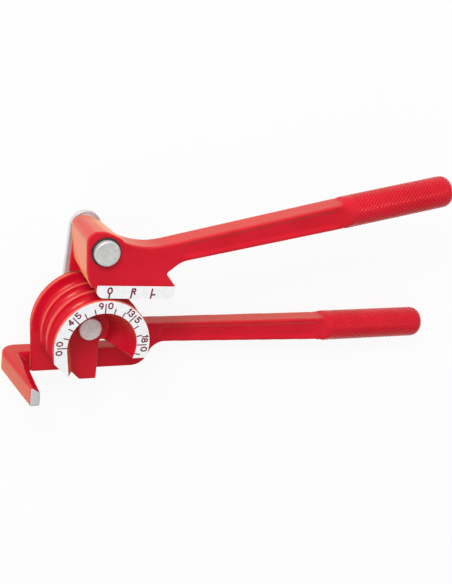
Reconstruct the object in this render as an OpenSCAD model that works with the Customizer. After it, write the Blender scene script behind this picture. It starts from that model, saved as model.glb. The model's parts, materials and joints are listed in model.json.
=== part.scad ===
// Lever bender for small tube, lying on its back.
// The bend axis is the Z axis, +X runs along the lower handle and the dial faces up.
// The upper lever is drawn at the bend angle bend_at_rest, with its shoe against the form.

/* [Tubes and bend] */
// Centreline radius of every bend
bend_r = 24; // [22:0.5:28]
// Outside diameter of the largest tube, bent in the front groove
tube_large_d = 10; // [9:0.5:11]
// Outside diameter of the middle tube
tube_middle_d = 8; // [7:0.5:9]
// Outside diameter of the smallest tube, bent in the rear groove
tube_small_d = 6; // [5:0.5:7]
// How much wider than its tube a groove is
tube_play = 0.2; // [0.1:0.05:0.5]
// Gap between the form's lands and the face of the shoe
shoe_gap = 0.9; // [0.5:0.1:1.5]
// Bend angle that the dial shows at rest
bend_at_rest = 92.5; // [85:0.5:100]

/* [Bending form] */
// How far the lands stand above the centre of the tube
land_rise = 0.5; // [0:0.1:1]
// Width of the lands between two grooves
land_w = 2.4; // [1.5:0.1:4]
// Thickness of the front flange, which carries the dial
front_flange_t = 2; // [1.5:0.1:4]
// Thickness of the rear flange
rear_flange_t = 2.6; // [2:0.1:4]
// How far the rear flange stands above the lands
rear_flange_rise = 3.3; // [1:0.1:4]
// Where the rear flange ends past the top of the form, from the bend axis
rear_flange_end = 6; // [2:0.5:10]
// Thickness of the web around the bend axis
web_t = 11; // [8:0.5:16]
// Radius of the pocket inside the dial, at its mouth
pocket_mouth_r = 17.6; // [15:0.1:19]
// Radius of the pocket at its floor
pocket_floor_r = 10.3; // [8:0.1:13]
// Angle by which the pocket's left wall leans inwards below the dial
pocket_lean = 7.7; // [0:0.1:12]
// How far the dial runs on below the bend axis, on its right side
ring_overrun = 7; // [3:0.5:9]
// Angle by which the tail's left side leans inwards below the dial
tail_lean = 5; // [0:0.5:7]
// How far below the bend axis the slant cut of the tail starts
tail_cut_start = 7; // [4:0.5:10]
// How far the lug hangs below the bend axis
lug_drop = 28.8; // [26:0.2:29.5]
// How far the pad that stands on the hook bar stays inside the form's outline
pad_inset = 0.4; // [0.3:0.1:1]
// Right side of the lug, from the bend axis
lug_right = 6; // [4:0.5:9]
// Depth of the seat for the thrust washer in the form's back
washer_seat_t = 0.5; // [0.3:0.1:1]

/* [Lower lever] */
// Thickness of the lever
lever_t = 10; // [8:0.5:14]
// How far the top of the hook bar lies below the bend axis
bar_drop = 18.9; // [18:0.1:21]
// Height of the hook bar
bar_h = 11; // [10:0.5:14]
// Room between a tube and the hook finger
hook_play = 0.5; // [0.4:0.1:1.5]
// Width of the hook finger at its root
hook_root_w = 11.3; // [10:0.1:14]
// Width of the hook finger at its tip
hook_tip_w = 4.9; // [3:0.1:7]
// Height of the hook finger at its tip
hook_tip_h = 9.8; // [6:0.1:10]
// How far the tip's top lies below the top of the hook bar
hook_tip_drop = 0.5; // [0:0.1:2]
// Width of the slant on the inner top edge of the hook finger, at its root
hook_root_slant = 3.8; // [1:0.1:4.2]
// How far the slant comes down at the tip of the hook finger
hook_tip_slant = 3; // [1:0.1:4.2]
// What the slant leaves of the tip's top edge
hook_tip_flat = 0.8; // [0.4:0.1:1.5]
// Rounding of the outer corner between the hook bar's back and its end
hook_bend_r = 8.5; // [3:0.5:9]
// Rounding of the hook bar's end
hook_corner_r = 2.2; // [1:0.1:4]
// How far the hook finger stands in front of the dial
hook_reach = 2; // [0:0.1:5]
// Where the neck of the lever turns up to the shank
neck_x = 35.5; // [30:0.5:42]
// How far the neck's outer side leans to the right
neck_lean = 5.5; // [3:0.5:9]
// Where the top of the neck comes down to the bar
neck_top_x = 21; // [16:0.5:26]
// Radius of the curves at the neck
neck_r = 9; // [4:0.5:9]
// How far the axis of the lower grip lies below the bend axis
lower_grip_drop = 13.9; // [12:0.1:15]
// Height of the shank at the neck
lower_shank_near_h = 10.6; // [8:0.1:13]
// Height of the shank at the grip
lower_shank_far_h = 12.6; // [9:0.1:12.8]
// How far the middle of the shank at the neck lies above the axis of the grip
lower_shank_rise = 2.5; // [0:0.1:4]
// Where the lower grip starts
lower_grip_x = 137.6; // [120:0.2:180]

/* [Upper lever] */
// How far the shoe reaches to the left of the 0 mark
shoe_left = 6.6; // [5:0.1:9]
// How far the shoe reaches to the right of the 0 mark
shoe_right = 33.2; // [30:0.2:40]
// Rounding of the lower corners of the shoe
shoe_corner_r = 4; // [2:0.1:5]
// Height of the shoe, from its face to the arm
shoe_h = 13; // [11:0.1:15]
// How far the throat behind the shoe reaches back from the shoe's right end
throat = 5.6; // [3:0.1:8]
// Rounding of the throat
throat_r = 12; // [6:0.5:14]
// How far the slide pin stands to the left of the 0 mark
slide_pin_left = 4.8; // [2:0.1:6]
// How far the slide pin stands above the face of the shoe
slide_pin_rise = 23.9; // [23:0.1:24.5]
// How far the boss reaches to the left of the slide pin, at the back
boss_left = 8.35; // [7:0.05:10]
// How far the boss reaches to the right of the slide pin, at the back
boss_right = 8.45; // [7:0.05:10]
// How far the boss reaches above the slide pin, at the back
boss_up = 6.4; // [6:0.1:7]
// How much wider and higher the boss is at the front than at the back
boss_spread = 1.2; // [1.1:0.01:1.25]
// Rounding of the boss's left side
boss_round_r = 4.5; // [3:0.1:6]
// How far the shoulder below the boss stands to the left of the shoe
shoulder = 3.5; // [2:0.1:4.5]
// Thickness of the cheek that closes the gap behind the boss and the shoe
cheek_t = 1.2; // [0.8:0.1:2]
// How far the cheek stays above the face of the shoe
cheek_rise = 1.7; // [1.5:0.1:4]
// Thickness of the arm
arm_t = 11.5; // [9:0.5:15]
// Angle of the arm to the face of the shoe
arm_angle = 13.6; // [8:0.1:18]
// Where the arm starts, to the right of the 0 mark
arm_x = 44; // [40:0.5:50]
// Height of the arm's axis above the face of the shoe, where it starts
arm_rise = 27.3; // [26:0.1:30]
// Height of the arm where it starts
arm_near_h = 11.2; // [9:0.1:13]
// Height of the arm at the grip
arm_far_h = 12.8; // [9:0.1:13]
// Length of the arm
arm_len = 75; // [60:1:110]
// How far behind that start the panel in the arm's side begins
arm_panel_back = 10.4; // [8:0.1:11]
// Radius of the dip between the boss and the arm
dip_r = 36; // [20:1:37]
// How far the lowest line of that dip lies above the face of the shoe
dip_rise = 24.7; // [24:0.1:25.5]

/* [Handles] */
// Diameter of the grips
grip_d = 16.4; // [16.3:0.1:22]
// Length of the grips
grip_len = 63; // [52:0.5:90]
// Rounding of the grips' ends
grip_end_r = 5.5; // [2:0.1:7]
// Diameter of the tangs inside the grips
tang_d = 9; // [6:0.1:9]
// Length of the tangs
tang_len = 46; // [30:1:47]
// Depth of the long panels in the sides of the shanks
panel_t = 0.8; // [0.5:0.1:2.5]
// Width of the rim round the panels
panel_rim = 2.3; // [1.5:0.1:3]

/* [Link and pins] */
// Thickness of the link
link_t = 3; // [2:0.1:5]
// Gap on each side of the link
link_gap = 0.4; // [0.3:0.05:0.8]
// Radius of the link round the form pin
link_big_r = 13; // [9.5:0.1:15]
// Radius of the link round the slide pin
link_small_r = 7.9; // [7:0.1:10]
// Diameter of the form pin
form_pin_d = 8; // [6:0.1:9]
// Diameter of the form pin's head
form_pin_head_d = 11.8; // [10.5:0.1:13]
// Thickness of the form pin's head
form_pin_head_t = 2.7; // [1.5:0.1:4]
// Diameter of the slide pin
slide_pin_d = 7; // [6:0.1:7.6]
// Diameter of the slide pin's head
slide_pin_head_d = 12.6; // [11:0.1:13.5]
// Thickness of the slide pin's head
slide_pin_head_t = 2.6; // [1.5:0.1:4]
// Diameter of the dark washer under the slide pin's head
slide_washer_d = 14.5; // [14:0.1:17]
// Thickness of the dark washer
slide_washer_t = 0.6; // [0.4:0.1:1.2]
// Wall of the bushes
bush_wall = 1; // [0.8:0.1:1.2]
// Length of each of the two bushes in the boss
slide_bush_len = 11; // [8:0.5:14]
// Thickness of the thrust washers on the link
thrust_washer_t = 0.6; // [0.4:0.05:0.7]
// Width of the thrust washers' rings
thrust_washer_w = 2.5; // [2:0.1:3]
// Thickness of the washer at the back of the form pin
back_washer_t = 1; // [0.6:0.1:1.5]
// Thickness of the retaining clip
clip_t = 0.8; // [0.6:0.1:1.2]
// Depth of the clip's groove in the form pin
clip_groove = 0.8; // [0.5:0.1:1.2]
// Width of the retaining clip's ring
clip_w = 2.8; // [2:0.1:3.2]
// Length of the form pin behind the clip
pin_end_len = 1; // [0.6:0.1:2]
// Running clearance of the pins in their bushes, on the radius
pin_play = 0.04; // [0.02:0.01:0.08]
// Clearance between faces that turn on each other
face_play = 0.3; // [0.2:0.05:0.4]

/* [Fasteners] */
// Thread diameter of the screws that hold the form
screw_d = 5; // [4:0.1:6]
// Head diameter of the countersunk screws
screw_head_d = 9; // [8:0.1:10]
// Length of the screws' threads in the form
screw_grip = 5; // [4:0.1:6]
// Socket width of the screws
screw_socket = 3; // [2:0.1:4]
// Diameter of the dowel pins
dowel_d = 4; // [3:0.1:5]
// How far the dowels reach into the lever and into the form
dowel_depth = 5; // [3:0.1:6]
// Distance of the right screw from the bend axis, to the left
screw_right_x = 1; // [-1:0.1:2]
// Distance of the left screw from the left side of the form
screw_side = 5.3; // [4.8:0.1:6.3]
// Distance of each dowel from its screw, between the two screws
dowel_pitch = 7.5; // [7:0.1:8]

/* [Scales] */
// Thickness of the two white scales
scale_t = 0.3; // [0.2:0.05:0.5]
// Width of the bare rim round the outside of the dial
dial_rim = 0.5; // [0.2:0.1:1]
// Height of the white strip on the shoe
strip_h = 6.5; // [5:0.1:8]

/* [Hidden] */
$fn = 64;

enamel = [0.82, 0.07, 0.14];
zinc = [0.75, 0.76, 0.77];
bronze = [0.7, 0.52, 0.3];
white = [0.93, 0.93, 0.94];
black = [0.1, 0.1, 0.1];

corner_steps = 8;
slice_t = 0.01;
overcut = 1;
cut_far = 120;
seam = 0.02;

// Heights: the lower grip rests on the ground, the lever lies on its axis, then link, form and dial
lever_z = grip_d/2 - lever_t/2;
lever_top = lever_z + lever_t;
link_z = lever_top + link_gap;
link_top = link_z + link_t;
form_z = link_top + link_gap;
groove_ds = [tube_small_d + tube_play, tube_middle_d + tube_play, tube_large_d + tube_play];
groove_small_z = form_z + rear_flange_t + groove_ds[0]/2;
groove_middle_z = groove_small_z + groove_ds[0]/2 + land_w + groove_ds[1]/2;
groove_large_z = groove_middle_z + groove_ds[1]/2 + land_w + groove_ds[2]/2;
groove_zs = [groove_small_z, groove_middle_z, groove_large_z];
form_top = groove_large_z + groove_ds[2]/2 + front_flange_t;
rear_flange_top = form_z + rear_flange_t;
web_top = form_z + web_t;
lug_z = form_z + rear_flange_t/4;

// Radii of the form and places of the upper lever
land_r = bend_r + land_rise;
rear_r = land_r + rear_flange_rise;
lug_left = bend_r - groove_ds[0]/2 - land_w;
shoe_y = land_r + shoe_gap;
slide_pin_at = [-slide_pin_left, slide_pin_rise];
shoe_z = rear_flange_top + face_play;
boss_z = link_top + thrust_washer_t + face_play;
arm_z = form_top - arm_t;

// Hook bar, pad below the link and finger
bar_bottom = bar_drop + bar_h;
pad_top = bar_drop + link_gap;
plate_drop = bar_bottom - land_w - link_gap;
finger_tip_in = bend_r + tube_large_d/2 + hook_play;
finger_root_in = rear_r;
hook_out = finger_root_in + hook_root_w;
finger_top = form_top + hook_reach;
fastener_y = -(bar_drop + bar_bottom)/2;
screw_pitch = rear_r - screw_side - screw_right_x;

// Plane outlines with rounded corners: each point is [x, y, radius]
function unit(v) = v/norm(v);
function turned(v, a) = [v.x*cos(a) - v.y*sin(a), v.x*sin(a) + v.y*cos(a)];
function corner(before, at, after, r) =
  r == 0 ? [at] :
  let (
    back = unit(before - at),
    ahead = unit(after - at),
    half = acos(back*ahead)/2,
    centre = at + unit(back + ahead)*r/sin(half),
    first = at + back*r/tan(half) - centre,
    way = back.x*ahead.y - back.y*ahead.x > 0 ? -1 : 1
  ) [for (i = [0:corner_steps]) centre + turned(first, way*(180 - 2*half)*i/corner_steps)];
function flat(p) = [p.x, p.y];
function rounded(points) =
  let (n = len(points))
  [for (i = [0:n - 1])
    each corner(flat(points[(i + n - 1) % n]), flat(points[i]), flat(points[(i + 1) % n]), points[i][2])];

// A disc or ring standing on z
module ring(r, z, h, bore_r = 0) {
  translate([0, 0, z]) difference() {
    cylinder(r = r, h = h);
    if (bore_r > 0) translate([0, 0, -overcut]) cylinder(r = bore_r, h = h + 2*overcut);
  }
}

// Puts a shape that is drawn with the shoe's face on y = 0 to its place at rest
module at_shoe() {
  rotate([0, 0, 90 - bend_at_rest]) translate([0, shoe_y, 0]) children();
}

module at_slide_pin() {
  at_shoe() translate([slide_pin_at.x, slide_pin_at.y, 0]) children();
}

// Half section of the form from the bend axis outwards, without its pocket
module form_section() {
  difference() {
    polygon([
      [0, form_z], [rear_r, form_z], [rear_r, rear_flange_top], [land_r, rear_flange_top],
      [land_r, form_top - scale_t], [0, form_top - scale_t]
    ]);
    for (i = [0:2]) {
      translate([bend_r, groove_zs[i]]) circle(d = groove_ds[i]);
      translate([bend_r, groove_zs[i] - groove_ds[i]/2]) square([land_r, groove_ds[i]]);
    }
  }
}

module pocket_section() {
  polygon([[0, web_top], [pocket_floor_r, web_top], [pocket_mouth_r, form_top], [0, form_top]]);
}

// The three quarters of the form that are round; the straight tail takes the place of the fourth
module round_area() {
  polygon([
    [-cut_far, 0], [0, 0], [0, -cut_far], [cut_far, -cut_far], [cut_far, cut_far], [-cut_far, cut_far]
  ]);
}

// Everything beyond the slant cut of the tail
module tail_cut_area() {
  polygon([[-land_r, -tail_cut_start], [-land_r + cut_far, -tail_cut_start - cut_far], [-cut_far, -cut_far],
    [-cut_far, cut_far - tail_cut_start - land_r]]);
}

// The grooved half ring and its straight tail, with the pocket inside the dial
module grooved_body() difference() {
  rotate([0, 0, tail_lean]) {
    intersection() {
      rotate_extrude() form_section();
      linear_extrude(form_top) round_area();
    }
    rotate([90, 0, 0]) linear_extrude(plate_drop) mirror([1, 0, 0]) form_section();
  }
  translate([0, -cut_far - ring_overrun, 0]) cube([cut_far, cut_far, form_top]);
  difference() {
    translate([rear_flange_end, -cut_far/2, form_z - overcut])
      cube([cut_far, cut_far, rear_flange_t + 2*overcut]);
    ring(land_r - land_rise/2, form_z - 2*overcut, rear_flange_t + 4*overcut);
  }
  translate([0, 0, rear_flange_top - seam]) linear_extrude(form_top) tail_cut_area();
  translate([-cut_far, -cut_far - plate_drop, 0]) cube([2*cut_far, cut_far, rear_flange_top]);
  rotate_extrude() pocket_section();
  rotate([0, 0, pocket_lean]) rotate([90, 0, 0]) linear_extrude(2*lug_drop) mirror([1, 0, 0]) pocket_section();
}

// The pad that stands on the hook bar, below the link
module form_pad() intersection() {
  rotate([0, 0, tail_lean]) translate([pad_inset - rear_r, -cut_far, lever_top])
    cube([cut_far, cut_far, form_z + rear_flange_t/2 - lever_top]);
  translate([-cut_far, pad_inset - plate_drop, lever_top])
    cube([cut_far + lug_right - pad_inset, plate_drop - pad_inset - pad_top, lever_t + form_z]);
}

module bending_form() color(enamel) difference() {
  union() {
    grooved_body();
    difference() {
      translate([-lug_left, -lug_drop, lug_z]) cube([lug_left + lug_right, lug_drop, web_top - lug_z]);
      linear_extrude(form_top) tail_cut_area();
    }
    form_pad();
  }
  ring(form_pin_d/2 + bush_wall, form_z - overcut, web_t + 2*overcut);
  ring(form_pin_d/2 + thrust_washer_w + face_play + pin_play, form_z - overcut, overcut + washer_seat_t);
  at_screws() ring(screw_d/2, lever_top - overcut, overcut + screw_grip);
  at_dowels() ring(dowel_d/2, lever_top - overcut, overcut + dowel_depth);
}

// The places where the form is fastened to the hook bar: a screw at each end and two dowels between them
module at_screws() {
  for (x = [0, screw_pitch]) translate([-screw_right_x - x, fastener_y, 0]) children();
}

module at_dowels() {
  for (x = [dowel_pitch, screw_pitch - dowel_pitch]) translate([-screw_right_x - x, fastener_y, 0]) children();
}

module screw_shape() {
  head_h = (screw_head_d - screw_d)/2;
  ring(screw_d/2, lever_z + head_h, lever_t - head_h + screw_grip);
  translate([0, 0, lever_z]) cylinder(d1 = screw_head_d, d2 = screw_d, h = head_h);
}

module form_screws() color(zinc) at_screws() difference() {
  screw_shape();
  translate([0, 0, lever_z - overcut])
    cylinder(d = screw_socket/cos(30), h = overcut + screw_socket/2, $fn = 6);
}

module form_dowels() color(zinc) at_dowels() ring(dowel_d/2, lever_top - dowel_depth, 2*dowel_depth);

// Middle of the lower shank at the neck, and the outline of the whole lever
shank_mid_y = -lower_grip_drop + lower_shank_rise;
lever_outline = rounded([
  [-hook_out, -bar_bottom, hook_corner_r],
  [neck_x, -bar_bottom, neck_r],
  [neck_x + neck_lean, shank_mid_y - lower_shank_near_h/2, neck_r],
  [lower_grip_x, -lower_grip_drop - lower_shank_far_h/2, 0],
  [lower_grip_x, -lower_grip_drop + lower_shank_far_h/2, 0],
  [neck_top_x + neck_r, shank_mid_y + lower_shank_near_h/2, neck_r/2],
  [neck_top_x, -bar_drop, neck_r/2],
  [-hook_out, -bar_drop, hook_corner_r]
]);
lever_panel = rounded([
  [neck_x + neck_lean + panel_rim, shank_mid_y - lower_shank_near_h/2 + panel_rim, panel_rim],
  [lower_grip_x - panel_rim, -lower_grip_drop - lower_shank_far_h/2 + panel_rim, 0],
  [lower_grip_x - panel_rim, -lower_grip_drop + lower_shank_far_h/2 - panel_rim, 0],
  [neck_x + neck_lean + panel_rim, shank_mid_y + lower_shank_near_h/2 - panel_rim, panel_rim]
]);

// One slice of the hook finger, with the slant on its inner top edge
module finger_slice(inner, w, top, h, slant_w, slant_h, r) {
  linear_extrude(slice_t) polygon(rounded([
    [-inner - w, -top - h, r], [-inner, -top - h, 0], [-inner, -top - slant_h, 0],
    [-inner - slant_w, -top, 0], [-inner - w, -top, r]
  ]));
}

module hook_finger() hull() {
  translate([0, 0, lever_top - overcut/2])
    finger_slice(finger_root_in, hook_root_w - seam, bar_drop + seam, bar_h - 2*seam,
      hook_root_slant, hook_root_slant, hook_corner_r);
  translate([0, 0, finger_top])
    finger_slice(finger_tip_in, hook_tip_w, bar_drop + hook_tip_drop, hook_tip_h,
      hook_tip_w - hook_tip_flat, hook_tip_slant, 0);
}

// What the rounding takes off the outer corner between the hook bar's back and its end
module hook_bend_cut()
  translate([-hook_out, -bar_drop + overcut, lever_z]) rotate([90, 0, 0]) linear_extrude(bar_h + 2*overcut)
    difference() {
      translate([-overcut, -overcut]) square(hook_bend_r + overcut);
      translate([hook_bend_r, hook_bend_r]) circle(hook_bend_r);
    }

module lower_lever() color(enamel) difference() {
  union() {
    translate([0, 0, lever_z]) linear_extrude(lever_t) polygon(lever_outline);
    hook_finger();
    translate([lower_grip_x - overcut, -lower_grip_drop, grip_d/2]) rotate([0, 90, 0])
      cylinder(d = tang_d, h = overcut + tang_len);
  }
  for (z = [lever_z - overcut, lever_top - panel_t])
    translate([0, 0, z]) linear_extrude(panel_t + overcut) polygon(lever_panel);
  hook_bend_cut();
  at_screws() screw_shape();
  at_dowels() ring(dowel_d/2, lever_top - dowel_depth, dowel_depth + overcut);
}

// A grip along +Z from the end of its shank, with a blind bore for the tang
module grip() {
  rotate_extrude() polygon(concat(
    [[tang_d/2, 0]],
    [[grip_d/2, 0]],
    corner([grip_d/2, 0], [grip_d/2, grip_len], [0, grip_len], grip_end_r),
    [[0, grip_len], [0, tang_len], [tang_d/2, tang_len]]
  ));
}

module lower_grip() color(enamel)
  translate([lower_grip_x, -lower_grip_drop, grip_d/2]) rotate([0, 90, 0]) grip();

module angle_scale() color(white) translate([0, 0, form_top - scale_t]) linear_extrude(scale_t) difference() {
  rotate(tail_lean) {
    intersection() {
      circle(r = land_r - dial_rim);
      round_area();
    }
    translate([dial_rim - land_r, -lug_drop]) square([land_r - dial_rim, lug_drop + seam]);
  }
  tail_cut_area();
  circle(r = pocket_mouth_r);
  rotate(pocket_lean) translate([-pocket_mouth_r, -2*lug_drop]) square([pocket_mouth_r + overcut, 2*lug_drop]);
  translate([-overcut, -cut_far - ring_overrun]) square([cut_far, cut_far]);
}

module form_bush() color(bronze)
  ring(form_pin_d/2 + bush_wall, form_z + washer_seat_t, web_t - washer_seat_t, form_pin_d/2 + pin_play);

// Outline of the link: a round end on each pin and the two lines that touch both
link_vector = [slide_pin_at.x, shoe_y + slide_pin_at.y];
link_side_angle = asin((link_big_r - link_small_r)/norm(link_vector));

module link_outline() {
  across = atan2(link_vector.y, link_vector.x);
  sides = [across + 90 - link_side_angle, across - 90 + link_side_angle];
  circle(r = link_big_r);
  translate(link_vector) circle(r = link_small_r);
  polygon([
    turned([link_big_r, 0], sides[0]), turned([link_big_r, 0], sides[1]),
    link_vector + turned([link_small_r, 0], sides[1]), link_vector + turned([link_small_r, 0], sides[0])
  ]);
}

module link_plate() color(zinc) difference() {
  rotate([0, 0, 90 - bend_at_rest]) translate([0, 0, link_z]) linear_extrude(link_t) link_outline();
  ring(form_pin_d/2, link_z - overcut, link_t + 2*overcut);
  at_slide_pin() ring(slide_pin_d/2, link_z - overcut, link_t + 2*overcut);
}

form_head_z = web_top + face_play;
clip_z = link_z - back_washer_t - clip_t;
pin_end_z = clip_z - pin_end_len;

module form_pin() color(zinc) rotate_extrude() polygon([
  [0, pin_end_z], [form_pin_d/2, pin_end_z], [form_pin_d/2, clip_z], [form_pin_d/2 - clip_groove, clip_z],
  [form_pin_d/2 - clip_groove, clip_z + clip_t], [form_pin_d/2, clip_z + clip_t], [form_pin_d/2, form_head_z],
  [form_pin_head_d/2, form_head_z], [form_pin_head_d/2, form_head_z + form_pin_head_t - face_play],
  [form_pin_head_d/2 - face_play, form_head_z + form_pin_head_t], [0, form_head_z + form_pin_head_t]
]);

module form_pin_washer() color(zinc)
  ring(form_pin_d/2 + thrust_washer_w, link_z - back_washer_t, back_washer_t, form_pin_d/2 + pin_play);

module form_pin_clip() color(zinc) difference() {
  ring(form_pin_d/2 - clip_groove + clip_w, clip_z, clip_t, form_pin_d/2 - clip_groove);
  translate([0, clip_groove - form_pin_d/2, clip_z - overcut])
    cube([form_pin_d, form_pin_d - 2*clip_groove, clip_t + 2*overcut]);
}

module form_thrust_washer() color(zinc)
  ring(form_pin_d/2 + thrust_washer_w, link_top, thrust_washer_t, form_pin_d/2 + pin_play);

module slide_thrust_washer() color(zinc) at_slide_pin()
  ring(slide_pin_d/2 + thrust_washer_w, link_top, thrust_washer_t, slide_pin_d/2 + pin_play);

slide_washer_z = form_top + face_play;
slide_head_z = slide_washer_z + slide_washer_t;

module slide_pin() color(zinc) at_slide_pin() rotate_extrude() polygon([
  [0, link_z], [slide_pin_d/2, link_z], [slide_pin_d/2, slide_head_z], [slide_pin_head_d/2, slide_head_z],
  [slide_pin_head_d/2, slide_head_z + slide_pin_head_t - face_play],
  [slide_pin_head_d/2 - face_play, slide_head_z + slide_pin_head_t], [0, slide_head_z + slide_pin_head_t]
]);

module slide_pin_washer() color(black) at_slide_pin()
  ring(slide_washer_d/2, slide_washer_z, slide_washer_t, slide_pin_d/2 + pin_play);

// A point along the arm, h above its axis, with the shoe's face on y = 0
function on_arm(s, h) = [arm_x, arm_rise] + turned([s, h], arm_angle);
function with_r(p, r) = [p.x, p.y, r];

throat_at = [shoe_right - throat, shoe_h];
shoe_side = [
  [-shoe_left, 0, shoe_corner_r], [shoe_right, 0, shoe_corner_r], [shoe_right, strip_h, 0], with_r(throat_at, 0)
];
left_side = [-shoe_left - shoulder, strip_h + shoulder];
dip_at = [throat_at.x/2, dip_rise];

// Outline of the boss at its back, from the slide pin; towards the front it spreads from boss_still
boss_still = [slide_pin_left/2 - slide_pin_left, shoe_h] - slide_pin_at;
boss_foot = left_side - slide_pin_at;
boss_back = rounded([
  [-slide_pin_d/2, strip_h - slide_pin_rise, 0],
  [boss_right, strip_h - slide_pin_rise, 0],
  [boss_right, boss_up - shoulder, boss_round_r],
  [0, boss_up, 2*boss_round_r],
  [-boss_left, boss_up, boss_round_r],
  [boss_foot.x - overcut, boss_foot.y + shoulder, 0],
  with_r(boss_foot, 0)
]);

// Full front view of the upper lever, from the shoe round the arm to the boss
lever_front = rounded(concat(shoe_side, [
  with_r(on_arm(-arm_near_h, -arm_near_h/2), throat_r),
  with_r(on_arm(arm_len, -arm_far_h/2), 0),
  with_r(on_arm(arm_len, arm_far_h/2), 0),
  with_r(dip_at, dip_r),
  with_r(slide_pin_at + [slide_pin_left, boss_up], 0),
  with_r(slide_pin_at, 0),
  with_r(left_side, 0),
  [-shoe_left, strip_h, shoe_corner_r/2]
]));
shoe_block = rounded(concat(shoe_side, [with_r(left_side, 0), [-shoe_left, strip_h, shoe_corner_r/2]]));
cheek_left = overcut - slide_pin_left - boss_left;
cheek = [[cheek_left, slide_pin_rise], [cheek_left, cheek_rise], [0, cheek_rise], [0, slide_pin_rise]];
strip_outline = rounded([
  [-shoe_left, 0, shoe_corner_r], [shoe_right, 0, shoe_corner_r],
  [shoe_right, strip_h, 0], [-shoe_left, strip_h, 0]
]);
arm_panel = rounded([
  with_r(on_arm(-arm_panel_back, panel_rim - arm_near_h/2), panel_rim),
  with_r(on_arm(arm_len - panel_rim, panel_rim - arm_far_h/2), 0),
  with_r(on_arm(arm_len - panel_rim, arm_far_h/2 - panel_rim), 0),
  with_r(on_arm(-arm_panel_back, arm_near_h/2 - panel_rim), panel_rim)
]);

module prism(outline, z, top) {
  translate([0, 0, z]) linear_extrude(top - z) polygon(outline);
}

module slide_lever() color(enamel) at_shoe() difference() {
  union() {
    prism(lever_front, arm_z, form_top);
    prism(shoe_block, shoe_z, form_top);
    prism(cheek, shoe_z, shoe_z + cheek_t);
    translate(concat(slide_pin_at + boss_still, boss_z)) linear_extrude(form_top - boss_z, scale = boss_spread)
      translate(-boss_still) polygon(boss_back);
    translate(concat(on_arm(arm_len, 0), arm_z + arm_t/2)) rotate([0, 90, arm_angle])
      translate([0, 0, -overcut]) cylinder(d = tang_d, h = overcut + tang_len);
  }
  for (i = [0:2])
    translate([-cut_far, bend_r - shoe_y, groove_zs[i]]) rotate([0, 90, 0])
      cylinder(d = groove_ds[i], h = 2*cut_far);
  prism(strip_outline, form_top - scale_t, form_top + overcut);
  prism(arm_panel, form_top - panel_t, form_top + overcut);
  prism(arm_panel, arm_z - overcut, arm_z + panel_t);
  translate([slide_pin_at.x, slide_pin_at.y, 0])
    ring(slide_pin_d/2 + bush_wall, boss_z - overcut, form_top - boss_z + 2*overcut);
}

module upper_grip() color(enamel) at_shoe()
  translate(concat(on_arm(arm_len, 0), arm_z + arm_t/2)) rotate([0, 90, arm_angle]) grip();

module slide_scale() color(white) at_shoe() prism(strip_outline, form_top - scale_t, form_top);

module slide_bush(z) color(bronze) at_slide_pin()
  ring(slide_pin_d/2 + bush_wall, z, slide_bush_len, slide_pin_d/2 + pin_play);
module slide_bush_front() slide_bush(form_top - slide_bush_len);
module slide_bush_rear() slide_bush(boss_z);

lower_lever();
bending_form();
form_screws();
form_dowels();
lower_grip();
angle_scale();
form_bush();
link_plate();
form_pin();
form_pin_washer();
form_pin_clip();
form_thrust_washer();
slide_thrust_washer();
slide_pin();
slide_pin_washer();
slide_lever();
upper_grip();
slide_scale();
slide_bush_front();
slide_bush_rear();
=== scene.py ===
# %% [markdown]
# # Dressing a tube bender
#
# The imported model already holds every solid of the bender in its right place: a lower lever with its hook and
# bending form, a link, and an upper lever with its shoe. This lesson puts the skin on it: cast edges, knurled
# handles, printed scales, turned pins and red enamel. The first cell loads the solids and keeps their box.

# %% Load the solids
import json
import math

import bmesh
import bpy
import numpy as np
from mathutils import Matrix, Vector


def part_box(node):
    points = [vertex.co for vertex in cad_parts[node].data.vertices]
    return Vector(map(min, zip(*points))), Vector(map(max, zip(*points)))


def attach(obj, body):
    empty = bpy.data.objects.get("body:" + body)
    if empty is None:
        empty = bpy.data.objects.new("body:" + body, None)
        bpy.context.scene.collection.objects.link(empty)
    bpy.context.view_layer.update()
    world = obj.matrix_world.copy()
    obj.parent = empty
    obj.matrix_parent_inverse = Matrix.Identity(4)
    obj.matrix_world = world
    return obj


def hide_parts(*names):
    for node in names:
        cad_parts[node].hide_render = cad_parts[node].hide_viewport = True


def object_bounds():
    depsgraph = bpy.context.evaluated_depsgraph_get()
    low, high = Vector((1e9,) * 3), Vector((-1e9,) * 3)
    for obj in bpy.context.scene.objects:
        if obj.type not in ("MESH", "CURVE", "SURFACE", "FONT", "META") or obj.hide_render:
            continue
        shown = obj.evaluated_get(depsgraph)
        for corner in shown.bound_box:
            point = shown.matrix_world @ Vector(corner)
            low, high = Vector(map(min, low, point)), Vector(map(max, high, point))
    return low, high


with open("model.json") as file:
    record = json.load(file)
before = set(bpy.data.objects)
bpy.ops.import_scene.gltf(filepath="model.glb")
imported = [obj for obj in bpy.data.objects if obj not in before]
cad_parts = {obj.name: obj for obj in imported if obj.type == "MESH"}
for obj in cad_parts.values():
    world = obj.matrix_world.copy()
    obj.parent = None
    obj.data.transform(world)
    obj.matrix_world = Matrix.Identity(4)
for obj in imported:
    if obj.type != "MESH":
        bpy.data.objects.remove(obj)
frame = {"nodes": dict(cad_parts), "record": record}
cad_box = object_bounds()
MM = 0.001
solids = frame["nodes"]
record = frame["record"]
body_of = {node: body for body, names in record["behaviour"]["bodies"].items() for node in names}
print("solids:", len(solids), "box in mm:", [round(v / MM, 1) for v in (cad_box[1] - cad_box[0])])

# %% [markdown]
# ## Camera
#
# The camera was found by fitting the dial's marks, the two pin heads and both handles to the picture. It looks
# down on the bender, which lies on its back, from the upper left. It is also rolled a little, so its matrix is
# built from three directions and not from a target: right, up and backwards are the columns of a rotation.


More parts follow.
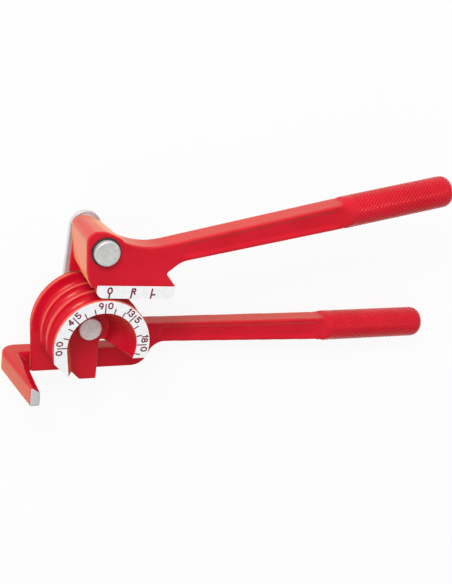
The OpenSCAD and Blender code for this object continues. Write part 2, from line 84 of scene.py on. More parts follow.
# %% Place the camera
def show(name, data):
    """Puts a mesh, a camera or a lamp into the scene as an object of that name."""
    piece = bpy.data.objects.new(name, data)
    bpy.context.scene.collection.objects.link(piece)
    return piece


def placed(right, up, backwards, place):
    """The matrix whose columns are three directions and a place."""
    columns = np.eye(4)
    columns[:3] = np.stack([right, up, backwards, place], 1)
    return Matrix(columns.tolist())


IMAGE_H = 584
SENSOR = 36.0
focal_px = 1400.0
camera_turn, camera_lift, camera_roll = np.radians([23.954, 21.680, -7.322])
camera_place = np.array([-199.625, 282.217, 638.461]) * MM

ahead = np.array([
    math.sin(camera_turn) * math.cos(camera_lift),
    -math.sin(camera_lift),
    -math.cos(camera_turn) * math.cos(camera_lift),
])
level = np.array([math.cos(camera_turn), 0.0, math.sin(camera_turn)])
below = np.cross(ahead, level)
right = math.cos(camera_roll) * level + math.sin(camera_roll) * below
down = math.cos(camera_roll) * below - math.sin(camera_roll) * level

camera = show("camera", bpy.data.cameras.new("camera"))
camera.matrix_world = placed(right, -down, -ahead, camera_place)
camera.data.lens = focal_px * SENSOR / IMAGE_H
camera.data.sensor_width = SENSOR
camera.data.clip_start, camera.data.clip_end = 0.01, 100.0
bpy.context.scene.camera = camera
print("lens", round(camera.data.lens, 1), "mm, looking along", ahead.round(2))

# %% [markdown]
# ## Small helpers for node trees
#
# Every finish below is a Principled shader with a few textures in front of it. An input of a node is either linked
# to another node's output or holds a constant, and one helper does both. The textures read Object coordinates,
# which are metres in the part's own frame, so a pattern of a millimetre has a scale near 1000.


# %% Helpers for nodes
def finish(name):
    """A new material; gives the material, its node tree and its Principled shader."""
    material = bpy.data.materials.new(name)
    material.use_nodes = True
    return material, material.node_tree, material.node_tree.nodes["Principled BSDF"]


def plug(tree, socket, value):
    """Links an input to an output, or sets it to a constant."""
    if isinstance(value, bpy.types.NodeSocket):
        tree.links.new(value, socket)
    else:
        socket.default_value = value


def feed(tree, node, **inputs):
    """Plugs a value into each named input of a node; an underscore in a name stands for a space."""
    for name, value in inputs.items():
        plug(tree, node.inputs[name.replace("_", " ")], value)
    return node


def add(tree, kind, **inputs):
    """A new node of that kind, with its inputs fed."""
    return feed(tree, tree.nodes.new(kind), **inputs)


def combine(tree, operation, first, second):
    """One number from two, by the named operation of a Math node."""
    node = tree.nodes.new("ShaderNodeMath")
    node.operation = operation
    plug(tree, node.inputs[0], first)
    plug(tree, node.inputs[1], second)
    return node.outputs["Value"]


def mixed(tree, share, first, second):
    """A colour that goes from first to second as share goes from 0 to 1."""
    node = tree.nodes.new("ShaderNodeMix")
    node.data_type = "RGBA"
    return feed(tree, node, Factor=share, A=first, B=second).outputs["Result"]


def rescale(tree, source, low, high, to_low=0.0, to_high=1.0):
    """Maps a number from the range low to high to the range to_low to to_high, and holds it inside that."""
    node = add(tree, "ShaderNodeMapRange", Value=source, From_Min=low, From_Max=high, To_Min=to_low, To_Max=to_high)
    return node.outputs["Result"]


print("helpers: finish, plug, feed, add, combine, mixed, rescale")

# %% Helpers for textures
EVEN = (1.0, 1.0, 1.0)
NOISE_LOW, NOISE_HIGH = 0.3, 0.7


def grain(tree, size_mm, detail=3.0, stretch=EVEN):
    """Noise whose blobs are about size_mm across, stretched along the axes of the part; gives its 0 to 1 socket."""
    place = tree.nodes.new("ShaderNodeTexCoord").outputs["Object"]
    place = add(tree, "ShaderNodeMapping", Vector=place, Scale=stretch).outputs["Vector"]
    noise = add(tree, "ShaderNodeTexNoise", Vector=place, Scale=1.0 / (size_mm * MM), Detail=detail)
    return noise.outputs["Fac"]


def ramp(tree, source, low, dark, high, light):
    """A colour that is dark where source is under low, light where it is over high, and between them a blend."""
    node = add(tree, "ShaderNodeValToRGB", Fac=source)
    for element, position, colour in zip(node.color_ramp.elements, (low, high), (dark, light)):
        element.position = position
        element.color = (*colour, 1.0)
    return node.outputs["Color"]


def spread(tree, source, low, high):
    """Maps the middle of a noise to the values from low to high."""
    return rescale(tree, source, NOISE_LOW, NOISE_HIGH, low, high)


def rise(tree, axis, height, fade):
    """0 below a height along an axis of the part and 1 above it, blended over fade to each side; in metres."""
    place = tree.nodes.new("ShaderNodeTexCoord").outputs["Object"]
    split = add(tree, "ShaderNodeSeparateXYZ", Vector=place)
    return rescale(tree, split.outputs[axis], height - fade, height + fade)


def bump(tree, shader, source, height_mm):
    """Raises the surface by source, up to height_mm."""
    node = add(tree, "ShaderNodeBump", Height=source, Strength=1.0, Distance=height_mm * MM)
    feed(tree, shader, Normal=node.outputs["Normal"])


print("helpers: grain, ramp, spread, rise, bump")

# %% [markdown]
# ## Red enamel
#
# The castings are stove enamelled. Three things make that read as enamel and not as red plastic: a slightly
# uneven film (orange peel of about a millimetre), a colour that deepens in patches, and a paler film on the
# edges. The castings bring an attribute that says how far each point stands out from its neighbours, in mm, and
# the film is paler where that is large: partly a thinner film on the edges, partly a painted highlight along them.
# On the form that is so only above the bend axis, round the half circle on the side towards the lamp, and not on
# its foot: there it is a painted highlight on the crests of the grooves. The gloss and the sheen are tinted orange,
# which paints an orange cast into the reflections on faces that lean away. On the inner side of the hook finger,
# which looks away from the lamp, the same enamel is used without sheen, so it reads deep red: painted shade. The
# end of that finger is ground after painting, so above a given height the material turns to bare metal.

# %% Enamel
FILM_DEEP, FILM_LIGHT = (0.550, 0.004, 0.021), (0.630, 0.007, 0.028)
FILM_THIN_AND_HIGHLIGHT = (0.80, 0.150, 0.095, 1.0)
PATCHES_MM, PEEL_MM, PEEL_HEIGHT = 14.0, 1.1, 0.02
EDGE_STARTS, EDGE_FULL = 0.012, 0.030
HIGHLIGHT_FADE = 5.0 * MM
# Orange tints for the gloss and the sheen: they paint an orange cast into the reflections of the floor and the
# lamp.
GLOSS_TINT = (1.0, 0.80, 0.50, 1.0)
SHEEN_TINT, SHEEN_ROUGH = (1.0, 0.52, 0.21, 1.0), 0.38
GROUND_DARK, GROUND_LIGHT = (0.52, 0.53, 0.53), (0.68, 0.69, 0.69)
GROUND_FADE, GROUND_MIRROR = 0.05 * MM, 0.4


def film(tree, edge, highlight_above):
    """Red in soft patches, blended by up to edge to a paler colour where a point stands out, partly a thinner film
    and partly a painted highlight; if a Y is given, only above that, on the side that faces the lamp."""
    patches = ramp(tree, grain(tree, PATCHES_MM, 2.0), NOISE_LOW, FILM_DEEP, NOISE_HIGH, FILM_LIGHT)
    if not edge:
        return patches
    # Paler where a point stands out: partly a thinner film on edges, partly a painted highlight.
    stands_out = tree.nodes.new("ShaderNodeAttribute")
    stands_out.attribute_name = "stands_out"
    thin_film_and_highlight = rescale(tree, stands_out.outputs["Fac"], EDGE_STARTS, EDGE_FULL, 0.0, edge)
    if highlight_above is not None:
        # Only above the given Y, the side that faces the lamp: there the paler edges are a painted highlight.
        thin_film_and_highlight = combine(tree, "MULTIPLY", thin_film_and_highlight, rise(tree, "Y", highlight_above, HIGHLIGHT_FADE))
    return mixed(tree, thin_film_and_highlight, patches, FILM_THIN_AND_HIGHLIGHT)


def enamel(name, gloss, sheen, edge=0.0, highlight_above=None, bare_above=None):
    """Semi-gloss film with an orange peel, and an orange sheen that paints an orange cast into its reflections;
    if a Z is given, the metal above it is ground bare.
    """
    material, tree, shader = finish(name)
    colour = film(tree, edge, highlight_above)
    if bare_above is not None:
        ground = rise(tree, "Z", bare_above, GROUND_FADE)
        scratches = grain(tree, 0.5, 2.0, (1.0, 6.0, 1.0))
        steel = ramp(tree, scratches, NOISE_LOW, GROUND_DARK, NOISE_HIGH, GROUND_LIGHT)
        colour = mixed(tree, ground, colour, steel)
        feed(tree, shader, Metallic=rescale(tree, ground, 0.0, 1.0, 0.0, GROUND_MIRROR))
    feed(tree, shader, Base_Color=colour, Roughness=spread(tree, grain(tree, 6.0), 0.20, 0.28))
    feed(tree, shader, Specular_IOR_Level=gloss, Specular_Tint=GLOSS_TINT)
    feed(tree, shader, Sheen_Weight=sheen, Sheen_Roughness=SHEEN_ROUGH, Sheen_Tint=SHEEN_TINT)
    bump(tree, shader, grain(tree, PEEL_MM, 2.0), PEEL_HEIGHT)
    return material


finger_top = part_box("lower_lever")[1].z
ground_from = finger_top - 0.35 * MM
# The paler edges are partly a thinner film and partly a painted highlight. On the form they show only above the
# bend axis, as a painted highlight on the groove crests.
red = enamel("red_enamel", gloss=0.18, sheen=0.85, edge=0.12)
red_form = enamel("red_enamel_form", gloss=0.26, sheen=0.25, edge=0.70, highlight_above=0.0)
red_grip = enamel("red_enamel_grip", gloss=0.28, sheen=0.25)
red_bare_tip = enamel("red_enamel_bare_tip", gloss=0.14, sheen=1.00, edge=0.10, bare_above=ground_from)
# A copy of the enamel without sheen, for the faces that look away from the lamp: painted shade.
red_painted_shade = enamel("red_enamel_painted_shade", gloss=0.14, sheen=0.0, edge=0.10, bare_above=ground_from)
print("enamel; the finger is bare above", round(ground_from / MM, 2), "mm")

# %% [markdown]
# ## Metal, film and ink
#
# Zinc plate is a pale grey metal with a fine directional grain and faint clouds. The pin heads are duller, with
# small mottles; the form pin's steel is a paler, warmer copy, lightened as painted light against the shade of the
# pocket it sits in. The scales are a white film that is a little grey where it has been handled, and the figures on
# them are a dark red ink. Bronze only shows as thin rings. The near-black ring under the slide pin's head is
# painted shade: it stands for the dark gap round the head.

# %% Other finishes
TONE_LOW, TONE_HIGH = 0.35, 0.65


def metal(name, dark, light, rough, grain_mm, height_mm, stretch=EVEN, mirror=1.0):
    """Bare or plated metal: clouds between two tones, a stretched grain, and a roughness that varies with them."""
    material, tree, shader = finish(name)
    fine = grain(tree, grain_mm, 4.0, stretch)
    clouds = grain(tree, 5.0, 2.0)
    tone = add(tree, "ShaderNodeMix", Factor=0.5, A=fine, B=clouds).outputs["Result"]
    feed(tree, shader, Base_Color=ramp(tree, tone, TONE_LOW, dark, TONE_HIGH, light))
    feed(tree, shader, Roughness=spread(tree, clouds, *rough), Metallic=mirror)
    bump(tree, shader, fine, height_mm)
    return material


def printed(name, dark, light, rough):
    """A dull printed surface: a pale and a darker tone in soft clouds."""
    material, tree, shader = finish(name)
    clouds = grain(tree, 3.0, 4.0)
    feed(tree, shader, Base_Color=ramp(tree, clouds, TONE_LOW, dark, TONE_HIGH, light))
    feed(tree, shader, Roughness=spread(tree, clouds, *rough))
    bump(tree, shader, grain(tree, 0.6, 2.0), 0.004)
    return material


zinc = metal("zinc_plate", (0.60, 0.62, 0.61), (0.72, 0.74, 0.73), (0.30, 0.42),
             grain_mm=0.4, height_mm=0.004, stretch=(1.0, 0.15, 1.0), mirror=0.5)
# A paler, warmer copy of the pin steel for the form pin: painted light that makes up for the shade of the pocket.
pin_steel_lit = metal("pin_steel_lit", (0.70, 0.68, 0.65), (0.96, 0.96, 0.93), (0.28, 0.40),
                     grain_mm=1.3, height_mm=0.010, mirror=0.3)
pin_steel = metal("pin_steel", (0.54, 0.55, 0.54), (0.76, 0.77, 0.75), (0.30, 0.42),
                  grain_mm=0.9, height_mm=0.010, mirror=0.5)
bronze = metal("bronze", (0.42, 0.27, 0.12), (0.58, 0.40, 0.20), (0.30, 0.42),
               grain_mm=0.5, height_mm=0.004, stretch=(1.0, 1.0, 0.3))
# Near-black for the washer under the slide pin's head: painted shade that stands for the dark gap round the head.
gap_shadow = printed("painted_gap_shadow", (0.012, 0.012, 0.012), (0.03, 0.03, 0.03), (0.40, 0.55))
white = printed("white_film", (0.80, 0.80, 0.815), (0.86, 0.86, 0.87), (0.40, 0.52))
ink = printed("dark_red_ink", (0.120, 0.003, 0.012), (0.180, 0.005, 0.018), (0.45, 0.60))
print("finishes:", [m.name for m in (zinc, pin_steel_lit, pin_steel, bronze, gap_shadow, white, ink)])

# %% [markdown]
# ## Small helpers for meshes
#
# A new piece is a mesh in the part's own frame, so its object stays at the origin. Most pieces stand for a solid:
# they hide it and ride on its body. The solids come as loose triangles, so a copy of one is sewn
# together before anything else is done to it.

# %% Helpers for meshes
SEW_WITHIN = 1e-6


def stand_for(piece, node, material):
    """The piece takes the place and the body of a solid, which it hides, and gets its finish."""
    piece.data.materials.clear()
    piece.data.materials.append(material)
    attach(piece, body_of[node])
    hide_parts(node)


def box_mm(node):
    """The lowest and the highest corner of a solid, in mm."""
    return [np.array(corner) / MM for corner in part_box(node)]


def reworked(mesh, *steps):
    """Takes a mesh through steps of editing, each a function of the open mesh."""
    opened = bmesh.new()
    opened.from_mesh(mesh)
    for step in steps:
        step(opened)
    opened.to_mesh(mesh)
    opened.free()
    return mesh


def sew(opened):
    """Merges points that lie in one place."""
    bmesh.ops.remove_doubles(opened, verts=opened.verts, dist=SEW_WITHIN)


def face_outwards(opened):
    """Turns every face outwards."""
    bmesh.ops.recalc_face_normals(opened, faces=opened.faces)


def merged(node):
    """A copy of a solid's mesh, with its loose triangles sewn together."""
    return reworked(solids[node].data.copy(), sew)


def smooth(mesh, limit_deg=None):
    """Shades a mesh smooth; if a limit is given, edges sharper than that stay sharp."""
    mesh.polygons.foreach_set("use_smooth", np.ones(len(mesh.polygons), bool))
    if limit_deg is not None:
        mesh.set_sharp_from_angle(angle=math.radians(limit_deg))
    return mesh


print("helpers: stand_for, box_mm, reworked, sew, face_outwards, merged, smooth")

# %% [markdown]
# ## Castings
#
# The lower lever, the bending form and the upper lever are castings: each edge has a small radius and each inner
# corner a fillet. Beveling solids with this many curved cuts breaks down, so the edges are melted instead. A copy
# of the solid is merged, cut into small voxels, and then relaxed: flat faces and cylinders stay where they are,
# and only edges and corners move. The relaxing is done on whole arrays: each point goes half of the way to
# the mean of its neighbours, several times over. The same arrays give the mark for the enamel, how far a point
# stands out. The faces on the inner side of the hook finger, which look away from the lamp, get the enamel
# without sheen as painted shade.

# %% Castings with melted edges
CAST_VOXEL, CAST_ROUNDS, MARK_ROUNDS = 0.42, 8, 2


def relaxed(values, edges, rounds):
    """Moves each row of values half of the way to the mean of its neighbours, rounds times."""
    ends = np.concatenate([edges[:, 0], edges[:, 1]])
    others = np.concatenate([edges[:, 1], edges[:, 0]])
    count = np.bincount(ends, minlength=len(values))[:, None]
    for _ in range(rounds):
        mean = np.stack([np.bincount(ends, column[others], len(values)) for column in values.T], 1) / count
        values = (values + mean) / 2
    return values


def voxels(node):
    """A solid's mesh, merged and cut into voxels."""
    whole = show(node + "_whole", merged(node))
    remesh = whole.modifiers.new("voxels", "REMESH")
    remesh.mode = "VOXEL"
    remesh.voxel_size = CAST_VOXEL * MM
    mesh = bpy.data.meshes.new_from_object(whole.evaluated_get(bpy.context.evaluated_depsgraph_get()))
    bpy.data.objects.remove(whole)
    return mesh


def casting(node):
    """A solid with its edges melted: its voxels are relaxed. Each point is marked with how far it stands out from
    the mean of its neighbours along its normal, in mm, and the marks are relaxed too."""
    mesh = voxels(node)
    points, normals = np.empty((2, len(mesh.vertices), 3))
    edges = np.empty((len(mesh.edges), 2), np.int64)
    mesh.vertices.foreach_get("co", points.ravel())
    mesh.edges.foreach_get("vertices", edges.ravel())
    points = relaxed(points, edges, CAST_ROUNDS)
    mesh.vertices.foreach_set("co", points.ravel())
    smooth(mesh)
    mesh.update()
    mesh.vertices.foreach_get("normal", normals.ravel())
    above_mean = 2 * ((points - relaxed(points, edges, 1)) * normals).sum(1, keepdims=True) / MM
    marks = mesh.attributes.new("stands_out", "FLOAT", "POINT")
    marks.data.foreach_set("value", relaxed(above_mean, edges, MARK_ROUNDS).ravel())
    return show(node + "_cast", mesh)


castings = {}
for node, material in (("lower_lever", red_bare_tip), ("bending_form", red_form), ("slide_lever", red)):
    castings[node] = casting(node)
    stand_for(castings[node], node, material)
    print(castings[node].name, "has", len(castings[node].data.polygons), "faces")

# %% Painted shade on the inner side of the finger
finger_inner, finger_foot, finger_lean = -27.0, 14.0, 0.3


def painted_shade_faces(mesh):
    """1 for each face of the hook finger that looks along +X, at the tube and away from the lamp, and 0 for the
    others; these faces get the enamel without sheen as painted shade.
    """
    centres, normals = np.empty((2, len(mesh.polygons), 3))
    mesh.polygons.foreach_get("center", centres.ravel())
    mesh.polygons.foreach_get("normal", normals.ravel())
    finger = (centres[:, 0] < finger_inner * MM) & (centres[:, 2] > finger_foot * MM)
    return (finger & (normals[:, 0] > finger_lean)).astype(np.int32)


# The inner faces of the finger get the copy without sheen, so they read deep red as if in shade: painted shade.
hook = castings["lower_lever"].data
shaded = painted_shade_faces(hook)
hook.materials.append(red_painted_shade)
hook.polygons.foreach_set("material_index", shaded)
print("rubbed faces of the finger:", shaded.sum())

# %% [markdown]
# ## Knurled grips
#
# The grip is a round bar with a cast knurl: two sets of V grooves that wind round it left-handed and right-handed
# at 45 degrees. As a surface it is a radius over an angle and a length. Each winding is a row of round ribs with
# sharp grooves between them. The upper half has the rising grooves at full depth and the lower half the falling
# ones, which draws the row of chevrons that is seen from the front. At the start the flats of the shank run out
# into the round: the radius there is a smooth minimum of the round and the flats, and the start laps over the
# shank's end. A blind bore for the tang closes the surface on the inside.


# %% Surfaces from grids
def quads(index):
    """The four corners of each cell in a grid of point numbers; the last column joins the first."""
    ring = np.concatenate([index, index[:, :1]], 1)
    return np.stack([ring[:-1, :-1], ring[:-1, 1:], ring[1:, 1:], ring[1:, :-1]], -1).reshape(-1, 4)


def surface(name, grid):
    """A mesh from a grid of points, rows by columns, that is closed round its rows."""
    rows, columns = grid.shape[:2]
    faces = quads(np.arange(rows * columns).reshape(rows, columns))
    mesh = bpy.data.meshes.new(name)
    mesh.from_pydata(grid.reshape(-1, 3).tolist(), [], faces.tolist())
    return reworked(mesh, sew, face_outwards)


print("helpers: quads, surface")

# %% Grips
knurl_starts, knurl_depth, knurl_weak = 24, 0.55, 0.12
knurl_middle, knurl_switch = 0.19, 3.0
knurl_from, knurl_fade = 5.0, 3.0
knurl_stop, knurl_stop_fade = 1.2, 2.0
lap = 1.6
run_out_y, run_out_z, run_out_power, run_out_most, run_out_n = 2.4, 4.2, 1.5, 4.0, 24.0
grip_end_r, grip_sharp_deg = 5.5, 50
tang_r, tang_len = 4.5, 46.0
lower_shank, upper_shank = (6.34, 5.04), (6.44, 5.79)
arm_heading = math.radians(11.1)
grip_low, grip_high = box_mm("lower_grip")
grip_length = grip_high[0] - grip_low[0]


def run_out(half, r, along, reach):
    """Half of the shank's width, growing from its own to the round's over reach, and on past that."""
    return (half + (r - half) * np.clip(along / reach, 0, run_out_most) ** run_out_power)[:, None]


def grip_points(r, half_y, half_z, turns=264, steps=260):
    """Points of a grip along +X, in mm: bore, a start that laps over the shank, collar, knurl and rounded end."""
    angle = np.linspace(0, 2 * np.pi, turns, endpoint=False)
    barrel = np.linspace(-lap, grip_length - grip_end_r, steps)
    bend = np.radians(np.linspace(0, 90, 13))[1:]
    along = np.concatenate([barrel, grip_length - grip_end_r + grip_end_r * np.sin(bend)])
    round_r = np.concatenate([np.full(steps, r), r - grip_end_r + grip_end_r * np.cos(bend)])[:, None]
    across = np.minimum(
        run_out(half_z, r, along, run_out_z) / np.maximum(np.abs(np.sin(angle)), 1e-3),
        run_out(half_y, r, along, run_out_y) / np.maximum(np.abs(np.cos(angle)), 1e-3))
    outer = (round_r ** -run_out_n + across ** -run_out_n) ** (-1 / run_out_n)
    pitch = 2 * np.pi * r / knurl_starts
    turn = knurl_starts * angle / (2 * np.pi)
    rising = 1 - np.abs(np.sin(np.pi * (turn + along[:, None] / pitch)))
    falling = 1 - np.abs(np.sin(np.pi * (turn - along[:, None] / pitch)))
    above = knurl_switch * (np.cos(angle) - knurl_middle)
    cut = np.maximum(rising * np.clip(0.5 + above, knurl_weak, 1), falling * np.clip(0.5 - above, knurl_weak, 1))
    fade_in = np.clip((along - knurl_from) / knurl_fade, 0, 1)
    fade_out = np.clip((grip_length - knurl_stop - along) / knurl_stop_fade, 0, 1)
    outer = outer - knurl_depth * cut * (fade_in * fade_out)[:, None]
    bore = np.array([0.0, tang_r, tang_r])[:, None] * np.ones(turns)
    x = np.concatenate([[tang_len, tang_len, -lap], along, [grip_length]])[:, None] * np.ones(turns)
    radius = np.concatenate([bore, outer, np.zeros((1, turns))])
    return np.stack([x, radius * np.cos(angle), radius * np.sin(angle)], -1)


def grip(node, heading, shank):
    """The grip that stands for a solid, along a heading in the XY plane; shank holds half its width and depth."""
    low, high = box_mm(node)
    r = (high[2] - low[2]) / 2
    cos, sin = math.cos(heading), math.sin(heading)
    start = low + r * np.array([sin, cos, 1])
    turn = np.array([[cos, -sin, 0], [sin, cos, 0], [0, 0, 1]])
    name = node + "_knurled"
    points = grip_points(r, *shank) @ turn.T + start
    piece = show(name, smooth(surface(name, points * MM), grip_sharp_deg))
    stand_for(piece, node, red_grip)
    print(name, "from", start.round(1), "length", round(grip_length, 1), "faces", len(piece.data.polygons))


grip("lower_grip", 0.0, lower_shank)
grip("upper_grip", arm_heading, upper_shank)

# %% [markdown]
# ## Pins, washers and the link
#
# The two pins are turned parts, so each is a profile spun round its axis, with the small chamfers that a lathe
# leaves. The link is a pressed plate: its solid has the right outline, and a copy of it gets a narrow bevel, as do
# copies of the form pin's washer and clip and of the form's screws. The two scales, and what shows only as a thin
# ring or not at all, keep their solids and only get a finish.

# %% Turned pins
pin_chamfer, pin_dish, pin_sharp_deg = 0.4, 0.05, 30


def turned(name, profile_mm, centre, turns=96):
    """A surface of revolution about a vertical axis: profile is a closed list of (radius, height)."""
    profile = np.array(profile_mm + profile_mm[:1])
    angle = np.linspace(0, 2 * np.pi, turns, endpoint=False)
    grid = np.stack([
        centre[0] + profile[:, :1] * np.cos(angle),
        centre[1] + profile[:, :1] * np.sin(angle),
        profile[:, 1:] * np.ones(turns)], -1)
    return smooth(surface(name, grid * MM), pin_sharp_deg)


def headed_pin(node, material, shaft_r, head_r, head_h, rim):
    """A pin with a flat head: shaft, under side, and a chamfered rim with a small dish inside it."""
    lowest, highest = box_mm(node)
    centre, low, high = (lowest + highest)[:2] / 2, lowest[2], highest[2]
    profile = [
        (0, low), (shaft_r - pin_chamfer, low), (shaft_r, low + pin_chamfer),
        (shaft_r, high - head_h), (head_r, high - head_h), (head_r, high - rim),
        (head_r - 0.15 * rim, high - 0.5 * rim), (head_r - 0.5 * rim, high - 0.15 * rim), (head_r - rim, high),
        (head_r - 2 * rim, high - pin_dish), (0, high - pin_dish),
    ]
    name = node + "_turned"
    stand_for(show(name, turned(name, profile, centre)), node, material)
    print(name, "at", centre.round(2), "from", round(low, 2), "to", round(high, 2))


# The form pin gets the paler steel, painted light against the shade of the pocket.
headed_pin("form_pin", pin_steel_lit, shaft_r=4.0, head_r=5.9, head_h=2.7, rim=0.7)
headed_pin("slide_pin", pin_steel, shaft_r=3.5, head_r=6.3, head_h=2.6, rim=0.6)

# %% Link and small hardware
flat_deg, bevel_deg, bevel_sharp_deg = 1, 50, 40
link_bevel, small_bevel = 0.35, 0.12


def join_flats(opened):
    """Joins faces that lie in one plane."""
    bmesh.ops.dissolve_limit(opened, angle_limit=math.radians(flat_deg), verts=opened.verts, edges=opened.edges)


def beveled(node, name, width_mm):
    """A merged copy of a zinc plated solid whose sharp edges get a narrow bevel."""
    piece = show(name, smooth(reworked(merged(node), join_flats), bevel_sharp_deg))
    bevel = piece.modifiers.new("edge", "BEVEL")
    bevel.width = width_mm * MM
    bevel.segments = 2
    bevel.limit_method = "ANGLE"
    bevel.angle_limit = math.radians(bevel_deg)
    stand_for(piece, node, zinc)
    print(name, "has", len(piece.data.polygons), "faces before its bevel")


beveled("link_plate", "link_plate_pressed", link_bevel)
for node in ("form_pin_washer", "form_pin_clip", "form_screws"):
    beveled(node, node + "_edged", small_bevel)
# The slide pin's washer is near-black: painted shade for the gap round the head.
for node, material in (
        ("slide_pin_washer", gap_shadow), ("angle_scale", white), ("slide_scale", white), ("form_bush", bronze),
        ("slide_bush_front", bronze), ("slide_bush_rear", bronze), ("form_dowels", zinc),
        ("form_thrust_washer", zinc), ("slide_thrust_washer", zinc)):
    solids[node].data.materials.clear()
    solids[node].data.materials.append(material)
    print(node, "keeps its solid in", material.name)

# %% [markdown]
# ## Printed figures
#
# The dial has a mark every 15 degrees, with figures on both sides of each third one, and the shoe has three marks.
# All are drawn as strokes of ink: a low ridge with round ends that follows a path. A figure is a few such paths in
# a box one unit high. On the dial its foot points to the bend axis, so it is placed with a radius and an angle.
# Strokes that cross would share a plane and flicker, so each lies a hair above the one before, in four layers.

# %% Strokes
INK_W, INK_H, INK_CREST = 0.72, 0.04, 0.8
INK_STEP, INK_LAYERS = 0.002, 4


def stroke(path, width=INK_W):
    """A ridge along a path: at each point a section of four corners, and at open ends a half circle of sections."""
    path = np.asarray(path, float)
    way = np.gradient(path, axis=0)
    half = np.full(len(path), width / 2)
    if np.allclose(path[0], path[-1]):
        way[0] = way[-1] = path[1] - path[-2]
    else:
        cap = np.radians(np.linspace(8, 90, 6))[:-1]
        reach = width / 2 * np.cos(cap)[:, None]
        first, last = (w / np.linalg.norm(w) for w in (way[0], way[-1]))
        path = np.concatenate([path[0] - first * reach, path, path[-1] + last * reach[::-1]])
        way = np.concatenate([np.repeat(way[:1], len(cap), 0), way, np.repeat(way[-1:], len(cap), 0)])
        half = np.concatenate([width / 2 * np.sin(cap), half, width / 2 * np.sin(cap[::-1])])
    side = np.stack([-way[:, 1], way[:, 0]], -1) * (half / np.linalg.norm(way, axis=1))[:, None]
    foot, crest = np.zeros(len(path)), np.full(len(path), INK_H)
    corners = [np.c_[path + side, foot], np.c_[path - side, foot],
               np.c_[path - INK_CREST * side, crest], np.c_[path + INK_CREST * side, crest]]
    return np.stack(corners, 1)


def arc(x, y, rx, ry, start, end, steps=24):
    """Points of an ellipse round (x, y), from one angle to another in degrees."""
    a = np.radians(np.linspace(start, end, steps))
    return np.stack([x + rx * np.cos(a), y + ry * np.sin(a)], -1)


def line(start, end, steps=6):
    """Points of a straight run from start to end."""
    return np.linspace(start, end, steps)


FIGURES = {
    "0": [arc(0, 0.5, 0.33, 0.46, 90, 450, 40)],
    "1": [line((-0.16, 0.76), (0.06, 0.97)), line((0.06, 0.97), (0.06, 0.03))],
    "3": [arc(-0.02, 0.73, 0.27, 0.23, 150, -90), arc(-0.02, 0.27, 0.31, 0.24, 90, -150)],
    "4": [line((0.14, 0.03), (0.14, 0.97)), line((0.14, 0.97), (-0.32, 0.30)), line((-0.32, 0.30), (0.34, 0.30))],
    "5": [line((0.28, 0.97), (-0.22, 0.97)), line((-0.22, 0.97), (-0.26, 0.56)),
          arc(-0.01, 0.32, 0.32, 0.29, 130, -150, 30)],
    "8": [arc(0, 0.74, 0.25, 0.22, 90, 450, 30), arc(0, 0.28, 0.31, 0.25, 90, 450, 30)],
    "9": [arc(0, 0.70, 0.29, 0.27, 0, 360, 30), arc(-0.06, 0.70, 0.35, 0.66, 0, -75, 20)],
}
print("figures:", sorted(FIGURES))


# %% Print on the dial
def printed_piece(name, strokes, place, node):
    """One mesh from many strokes; place turns points of the drawing into points of the part, in mm."""
    points, faces, base = [], [], 0
    for layer, ridge in enumerate(strokes):
        index = base + np.arange(len(ridge) * 4).reshape(-1, 4)
        faces += quads(index).tolist() + [index[0].tolist(), index[-1, ::-1].tolist()]
        points.append(ridge.reshape(-1, 3) + (0, 0, INK_STEP * (layer % INK_LAYERS)))
        base += index.size
    mesh = bpy.data.meshes.new(name)
    mesh.from_pydata((place(np.concatenate(points)) * MM).tolist(), [], faces)
    piece = show(name, reworked(mesh, face_outwards))
    mesh.materials.append(ink)
    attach(piece, body_of[node])
    print(name, "has", len(strokes), "strokes")


def on_dial(path, degrees, along=0.0, foot=0.0, size=1.0):
    """Puts a drawing on the dial: up is away from the bend axis, and right is clockwise."""
    a = math.radians(degrees)
    out, clockwise = np.array([-math.cos(a), math.sin(a)]), np.array([math.sin(a), math.cos(a)])
    path = np.asarray(path, float) * size + (along, foot)
    return path[:, :1] * clockwise + path[:, 1:] * out


dial_face = box_mm("angle_scale")[1][2]
dial_step, dial_last = 15, 195
mark_from, mark_long, mark_short, mark_w = 17.9, 22.4, 20.2, 0.62
figure_h, figure_foot = 3.1, 19.9
figure_offset, figure_step = 2.4, 2.1
DIAL_FIGURES = {0: ("0", "0"), 45: ("4", "5"), 90: ("9", "0"), 135: ("13", "5"), 180: ("18", "0")}

dial_strokes = []
for degrees in range(0, dial_last + 1, dial_step):
    mark_to = mark_long if degrees in DIAL_FIGURES else mark_short
    dial_strokes.append(stroke(on_dial(line((0, mark_from), (0, mark_to)), degrees), mark_w))
for degrees, (before, after) in DIAL_FIGURES.items():
    places = [-figure_offset - figure_step * i for i in range(len(before))][::-1] + [figure_offset]
    for figure, along in zip(before + after, places):
        dial_strokes += [stroke(on_dial(p, degrees, along, figure_foot, figure_h)) for p in FIGURES[figure]]
printed_piece("dial_print", dial_strokes, lambda p: p + (0, 0, dial_face), "angle_scale")

# %% Print on the shoe
shoe_turn, shoe_y, shoe_ink = math.radians(-2.5), 25.4, 0.84
strip_face = box_mm("slide_scale")[1][2]
shoe_strokes = [stroke(p, shoe_ink) for p in (
    arc(0, 4.0, 1.0, 1.45, 90, 450, 40),
    line((0, 2.55), (-0.1, 0.35)),
    line((11.3, 5.1), (10.85, 0.35)),
    np.concatenate([line((11.3, 5.1), (12.1, 5.1)), arc(12.1, 4.4, 0.75, 0.7, 90, -90, 14),
                    line((12.1, 3.7), (11.2, 3.7))]),
    line((12.0, 3.7), (12.7, 2.4)),
    line((21.4, 5.0), (21.0, 0.35)),
    line((21.2, 2.1), (22.9, 2.15)),
)]


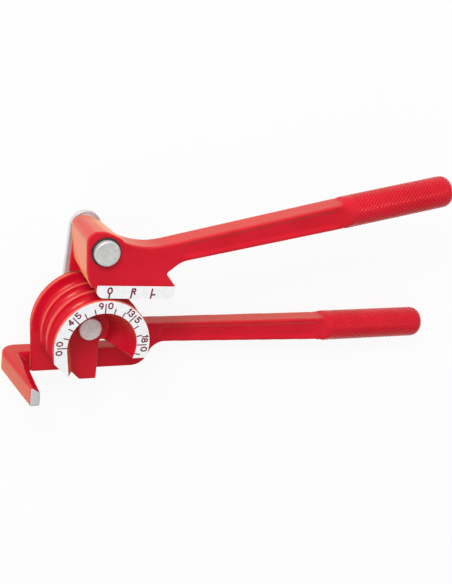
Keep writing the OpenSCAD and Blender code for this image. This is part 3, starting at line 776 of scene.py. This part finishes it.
def on_shoe(points):
    """Turns points of the shoe's own drawing, whose face is y = 0, to their place."""
    x, y = points[:, 0], points[:, 1] + shoe_y
    turned_x = x * math.cos(shoe_turn) - y * math.sin(shoe_turn)
    turned_y = x * math.sin(shoe_turn) + y * math.cos(shoe_turn)
    return np.stack([turned_x, turned_y, points[:, 2] + strip_face], -1)


printed_piece("shoe_print", shoe_strokes, on_shoe, "slide_scale")

# %% [markdown]
# ## Floor and light
#
# The picture has a plain white ground and one broad soft light from the upper left. A large floor under the bender
# is white to the camera and to reflections, which is also what gives the enamel its pale sheen on faces that lean
# away: they mirror the floor. A part of the floor's look stays a plain diffuse white, so it keeps a soft shadow.
# The room is lighter on the lamp's side and darker on the other, and the front faces mirror that darker side.

# %% Floor
floor_half, floor_drop, floor_glow = 12.0, 0.05 * MM, 0.9
PAPER_DARK, PAPER_LIGHT = (0.84, 0.84, 0.84), (0.86, 0.86, 0.86)
WHITE = (1.0, 1.0, 1.0, 1.0)

floor_mesh = bpy.data.meshes.new("floor")
floor_corners = np.array([[-1, -1], [1, -1], [1, 1], [-1, 1]]) * floor_half
floor_mesh.from_pydata([(x, y, -floor_drop) for x, y in floor_corners], [], [(0, 1, 2, 3)])
floor = show("floor", floor_mesh)

paper, tree, shader = finish("white_paper")
paper_tone = ramp(tree, grain(tree, 400.0, 2.0), NOISE_LOW, PAPER_DARK, NOISE_HIGH, PAPER_LIGHT)
feed(tree, shader, Base_Color=paper_tone, Roughness=0.9, Specular_IOR_Level=0.1)
glow = add(tree, "ShaderNodeEmission", Color=WHITE, Strength=1.0)
rays = tree.nodes.new("ShaderNodeLightPath")
seen = combine(tree, "MAXIMUM", rays.outputs["Is Camera Ray"], rays.outputs["Is Glossy Ray"])
seen = combine(tree, "MAXIMUM", seen, rays.outputs["Is Transmission Ray"])
look = add(tree, "ShaderNodeMixShader", Fac=combine(tree, "MULTIPLY", seen, floor_glow))
tree.links.new(shader.outputs["BSDF"], look.inputs[1])
tree.links.new(glow.outputs["Emission"], look.inputs[2])
feed(tree, tree.nodes["Material Output"], Surface=look.outputs["Shader"])
floor_mesh.materials.append(paper)
print("floor of", 2 * floor_half, "m,", round(floor_drop / MM, 2), "mm under the bender")

# %% Room and lamp
lamp_way = np.array([-0.42, 0.66, 0.62])
lamp_way /= np.linalg.norm(lamp_way)
lamp_far, lamp_size, lamp_power = 1.3, 0.45, 9.4
room_dark, room_light = 0.40, 0.95
room_dark_at, room_light_at = -0.2, 0.95

world = bpy.data.worlds.new("studio")
world.use_nodes = True
tree = world.node_tree
room = tree.nodes.new("ShaderNodeTexCoord")
towards = tree.nodes.new("ShaderNodeVectorMath")
towards.operation = "DOT_PRODUCT"
plug(tree, towards.inputs[0], room.outputs["Generated"])
plug(tree, towards.inputs[1], lamp_way)
strength = rescale(tree, towards.outputs["Value"], room_dark_at, room_light_at, room_dark, room_light)
feed(tree, tree.nodes["Background"], Color=WHITE, Strength=strength)
bpy.context.scene.world = world

lamp = show("soft_lamp", bpy.data.lights.new("soft_lamp", "AREA"))
lamp.data.shape = "DISK"
lamp.data.size = lamp_size
lamp.data.energy = lamp_power
lamp_right = np.cross([0, 0, 1.0], lamp_way)
lamp_right /= np.linalg.norm(lamp_right)
lamp_place = np.array((cad_box[0] + cad_box[1]) / 2) + lamp_way * lamp_far
lamp.matrix_world = placed(lamp_right, np.cross(lamp_way, lamp_right), lamp_way, lamp_place)
bpy.context.scene.view_settings.view_transform = "Standard"
print("lamp at", lamp_place.round(2))
